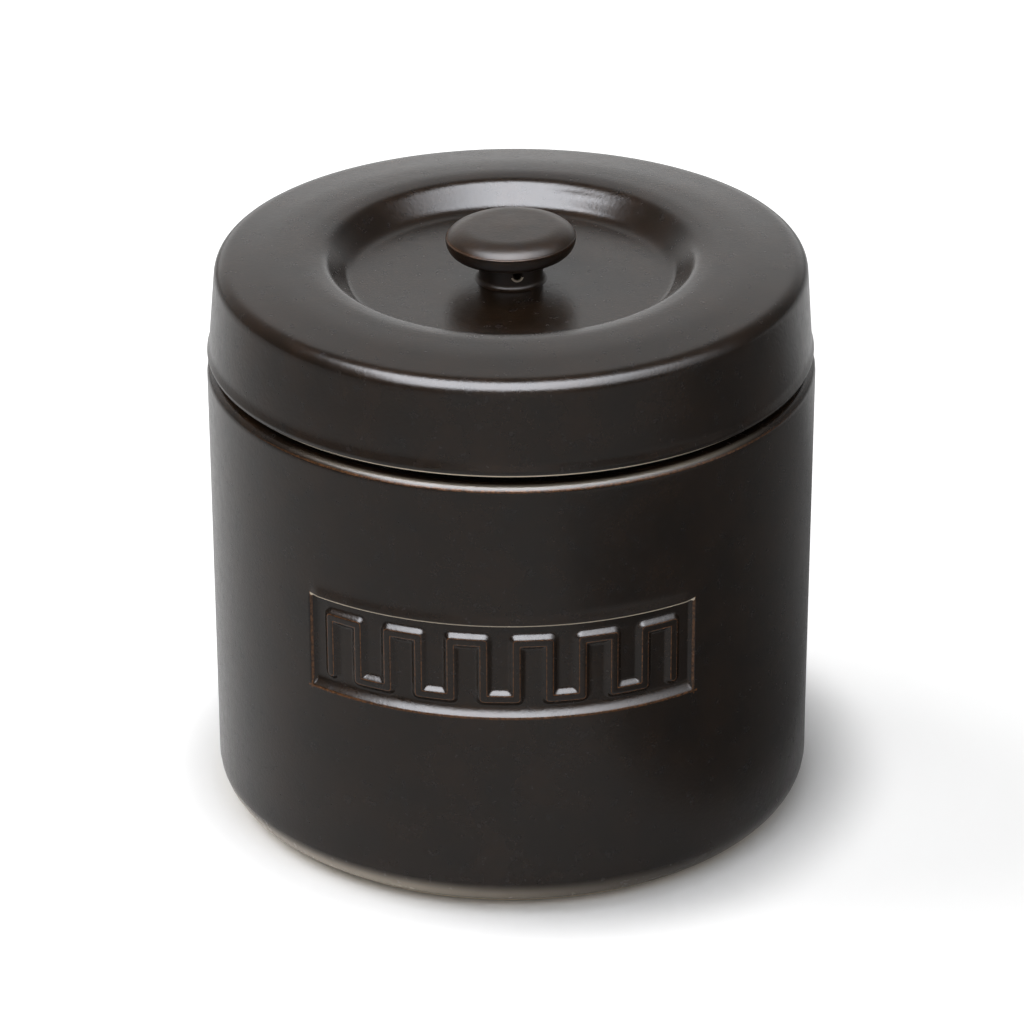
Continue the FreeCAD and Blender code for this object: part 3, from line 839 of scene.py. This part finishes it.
def surround():
    """White behind the object for the camera, and an even grey fill for the light. A gloss sees the same
    white sweep behind, brightest low down and grey at its sides, a low pale wall in front, and one long soft
    light overhead. Heights are angles from the front horizon, over the top, to the back one. The sweep's
    sides are bearings from the back, and the others' are shares of the way across."""
    world = bpy.data.worlds.new("white_surround")
    bpy.context.scene.world = world
    world.use_nodes = True
    tree = world.node_tree
    tree.nodes.clear()
    path = add(tree, "ShaderNodeLightPath").outputs
    shiny = path["Is Glossy Ray"]
    direction = add(tree, "ShaderNodeTexCoord").outputs["Generated"]
    toward = add(tree, "ShaderNodeSeparateXYZ", {"Vector": direction}).outputs
    ahead = add(tree, "ShaderNodeMath", {0: toward["Y"], 1: -1.0}, operation="MULTIPLY").outputs[0]
    height = add(tree, "ShaderNodeMath", {0: toward["Z"], 1: ahead}, operation="ARCTAN2").outputs[0]
    bearing = add(tree, "ShaderNodeMath", {0: toward["X"], 1: toward["Y"]}, operation="ARCTAN2").outputs[0]
    sweep_sides = band(tree, bearing, -1.3, -0.2, 0.05, 0.95, shiny)
    sweep = band(tree, height, math.radians(115), math.radians(150), *NO_END, sweep_sides)
    horizon = band(tree, height, math.radians(156), math.radians(167), *NO_END, sweep_sides)
    wall_sides = band(tree, toward["X"], -0.5, -0.15, 0.15, 0.5, shiny)
    wall = band(tree, height, -0.2, -0.1, math.radians(8), math.radians(20), wall_sides)
    light_sides = band(tree, toward["X"], -0.74, -0.52, 0.05, 1.2, shiny)
    light = band(tree, height, *np.radians([22, 42, 84, 98]).tolist(), light_sides)
    white = either(tree, path["Is Camera Ray"], path["Is Transmission Ray"], sweep, wall)
    tint = coated(tree, linear("#7a7a7a"), (white, "#ffffff"), (light, "#f3f7ff"))
    strength = 1.0
    for glow, factor in ((horizon, 0.6), (light, 24.0)):
        sums = {0: glow, 1: factor, 2: strength}
        strength = add(tree, "ShaderNodeMath", sums, operation="MULTIPLY_ADD").outputs[0]
    back = add(tree, "ShaderNodeBackground", {"Color": tint, "Strength": strength})
    add(tree, "ShaderNodeOutputWorld", {"Surface": back.outputs[0]})


def studio():
    """Pale floor, white surround, a large soft lamp above the front and one behind the left shoulder, whose
    soft shadow falls to the right."""
    pale_floor()
    surround()
    add_lamp("key_softbox", azimuth=0, elevation=58, distance=1.3, size=(1.5, 0.55), power=4.5)
    add_lamp("left_softbox", azimuth=-102, elevation=44, distance=1.3, size=(0.9, 0.9), power=12)


def add_lamp(name, azimuth, elevation, distance, size, power):
    """Rectangular lamp that looks at the pot's middle from an azimuth round from the front and an elevation.
    A gloss sees the surround's own lights in place of it."""
    lamp = bpy.data.lights.new(name, "AREA")
    lamp.shape = "RECTANGLE"
    lamp.size, lamp.size_y = size
    lamp.energy = power
    item = bpy.data.objects.new(name, lamp)
    bpy.context.collection.objects.link(item)
    item.visible_glossy = False
    a, e = math.radians(azimuth), math.radians(elevation)
    away = Vector((math.sin(a) * math.cos(e), -math.cos(a) * math.cos(e), math.sin(e)))
    item.location = Vector((0, 0, LAMP_AIM_HEIGHT)) + away * distance
    item.rotation_euler = away.to_track_quat("Z", "Y").to_euler()


def camera():
    """Camera on a circle round the pot: position = target + distance times the way back, then turned a
    little about its own line of sight."""
    azimuth, pitch, roll = np.radians([CAMERA_AZIMUTH, CAMERA_ELEVATION, CAMERA_ROLL]).tolist()
    right = Vector((math.cos(azimuth), math.sin(azimuth), 0))
    back = Vector(
        (math.sin(azimuth) * math.cos(pitch), -math.cos(azimuth) * math.cos(pitch), math.sin(pitch))
    )
    up = back.cross(right)
    target = Vector((0, 0, CAMERA_AIM_HEIGHT)) + right * CAMERA_AIM_TO_RIGHT
    turned_right = right * math.cos(roll) + up * math.sin(roll)
    turned_up = up * math.cos(roll) - right * math.sin(roll)
    lens = bpy.data.cameras.new("camera")
    lens.sensor_width = SENSOR_WIDTH
    lens.lens = FOCAL_LENGTH
    lens.clip_start = 0.05
    item = bpy.data.objects.new("camera", lens)
    bpy.context.collection.objects.link(item)
    columns = Matrix((turned_right, turned_up, back)).transposed().to_4x4()
    item.matrix_world = Matrix.Translation(target + back * CAMERA_DISTANCE) @ columns
    bpy.context.scene.camera = item


# ---- the whole object ----

glaze = stoneware_glaze("satin_stoneware_glaze", specular=0.34, smoothest=0.22, roughest=0.28)
rubbed_glaze = stoneware_glaze(
    "finger_rubbed_stoneware_glaze", specular=0.29, smoothest=0.34, roughest=0.4
)
silicone = black_silicone()
sheet_steel = spun_steel()
wire_steel = drawn_wire()

pot(glaze)
lid(glaze)
knob(rubbed_glaze)
plain_ring("silicone_seal", "lid", silicone, SEAL_PROFILE, ["seal_ring"])
plain_ring("strainer_flange_ring", "strainer", sheet_steel, RIM_RING_PROFILE, ["strainer_rim"])
plain_ring("cloth_clamp_hoop", "strainer", sheet_steel, HOOP_PROFILE, ["clamp_hoop"])
wire_cloth(wire_steel)
lift_loop("wire_loop_front", "loop_front", "lift_loop_front", wire_steel, -1)
lift_loop("wire_loop_back", "loop_back", "lift_loop_back", wire_steel, 1)

# The two clips keep their own shape and take the sheet's steel.
for clip in ("loop_clip_front", "loop_clip_back"):
    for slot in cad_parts[clip].material_slots:
        slot.material = sheet_steel

studio()
camera()
bpy.context.scene.view_settings.view_transform = "Standard"
